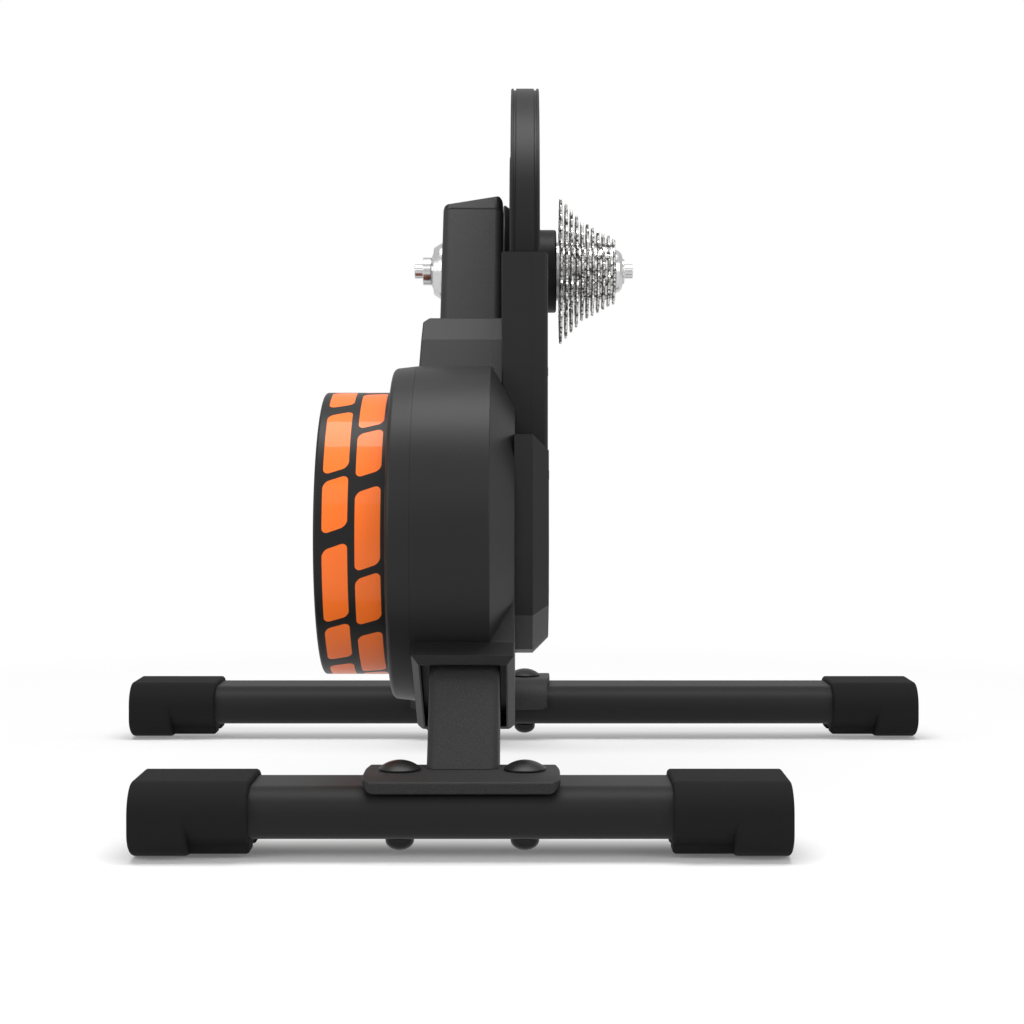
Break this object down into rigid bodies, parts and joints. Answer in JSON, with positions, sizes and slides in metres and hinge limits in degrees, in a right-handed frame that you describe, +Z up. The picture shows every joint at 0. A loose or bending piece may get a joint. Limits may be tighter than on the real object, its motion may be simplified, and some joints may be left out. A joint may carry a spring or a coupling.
{
  "type": "direct drive bike trainer",
  "caption": "Indoor cycling stand that holds the rear axle: A-frame on two cross legs, outboard flywheel, belt drive in a moulded case, carry handle and a cassette.",
  "frame": {"origin": "on the floor, under the middle of the outer box", "axes": "+Z up, +X towards the drive side (cassette), +Y the riding direction; the hub axle and the flywheel shaft lie along X"},
  "size_m": [0.626, 0.537, 0.4855],
  "materials": {
    "powder_coat": "fine-grained matt powder coat",
    "leg_paint": "satin black paint",
    "case_plastic": "matt moulded plastic",
    "handle_plastic": "satin moulded plastic",
    "foot_rubber": "matt rubber",
    "black_steel": "black oxide steel",
    "bright_steel": "polished steel",
    "sprocket_steel": "nickel-plated steel",
    "flywheel_paint": null,
    "aluminium": "machined",
    "belt_rubber": "ribbed belt rubber",
    "copper": "lacquered copper winding",
    "board_green": "green circuit board",
    "inlet_plastic": "black moulded plastic"
  },
  "bodies": {
    "frame": {"main_tube": "powder_coat", "tower_cap": "case_plastic", "front_strut": "powder_coat", "rear_leg_tube": "leg_paint", "rear_saddle": "powder_coat", "rear_foot_left": "foot_rubber", "rear_foot_right": "foot_rubber", "rear_leg_bolt_left": "black_steel", "rear_leg_nut_left": "black_steel", "rear_leg_bolt_right": "black_steel", "rear_leg_nut_right": "black_steel", "front_leg_tube": "leg_paint", "front_saddle": "powder_coat", "front_foot_right": "foot_rubber", "front_foot_left": "foot_rubber", "front_leg_bolt_right": "black_steel", "front_leg_nut_right": "black_steel", "front_leg_bolt_left": "black_steel", "front_leg_nut_left": "black_steel", "hub_axle": "bright_steel", "axle_flange": "bright_steel", "left_end_cap": "bright_steel", "right_end_cap": "bright_steel", "hub_bearing_left": "bright_steel", "hub_bearing_right": "bright_steel", "carry_handle": "handle_plastic", "flywheel_bearing_left": "bright_steel", "flywheel_bearing_right": "bright_steel", "brake_plate": "black_steel", "brake_coil_1": "copper", "brake_coil_2": "copper", "brake_coil_3": "copper", "brake_coil_4": "copper", "drive_belt": "belt_rubber", "idler_arm": "black_steel", "guard_ring": "case_plastic", "main_housing": "case_plastic", "control_board": "board_green", "power_inlet": "inlet_plastic", "belt_case_inner": "case_plastic", "belt_case_outer": "case_plastic"},
    "flywheel_group": {"flywheel": "flywheel_paint", "flywheel_shaft": "bright_steel", "brake_rotor": "aluminium", "shaft_pulley": "aluminium"},
    "drive_pulley_group": {"drive_pulley": "aluminium"},
    "idler_group": {"idler_pulley": "bright_steel"},
    "cassette_group": {"freehub_body": "aluminium", "sprocket_25t": "sprocket_steel", "sprocket_23t": "sprocket_steel", "sprocket_21t": "sprocket_steel", "sprocket_19t": "sprocket_steel", "sprocket_17t": "sprocket_steel", "sprocket_16t": "sprocket_steel", "sprocket_15t": "sprocket_steel", "sprocket_14t": "sprocket_steel", "sprocket_13t": "sprocket_steel", "sprocket_12t": "sprocket_steel", "sprocket_11t": "sprocket_steel", "cassette_lockring": "bright_steel"}
  },
  "joints": [
    {"name": "flywheel_spin", "type": "hinge", "parent": "frame", "child": "flywheel_group", "pos_m": [0, -0.09807, 0.17792], "axis": [1, 0, 0], "continuous": true},
    {"name": "drive_pulley_spin", "type": "hinge", "parent": "frame", "child": "drive_pulley_group", "pos_m": [0, 0.0259, 0.357], "axis": [1, 0, 0], "continuous": true},
    {"name": "idler_spin", "type": "hinge", "parent": "frame", "child": "idler_group", "pos_m": [0, -0.04532, 0.19614], "axis": [1, 0, 0], "continuous": true},
    {"name": "cassette_spin", "type": "hinge", "parent": "drive_pulley_group", "child": "cassette_group", "pos_m": [0, 0.0259, 0.357], "axis": [1, 0, 0], "continuous": true}
  ],
  "couplings": [
    {"joint": "drive_pulley_spin", "follows": "flywheel_spin", "ratio": 0.2059},
    {"joint": "idler_spin", "follows": "flywheel_spin", "ratio": -0.7778}
  ]
}
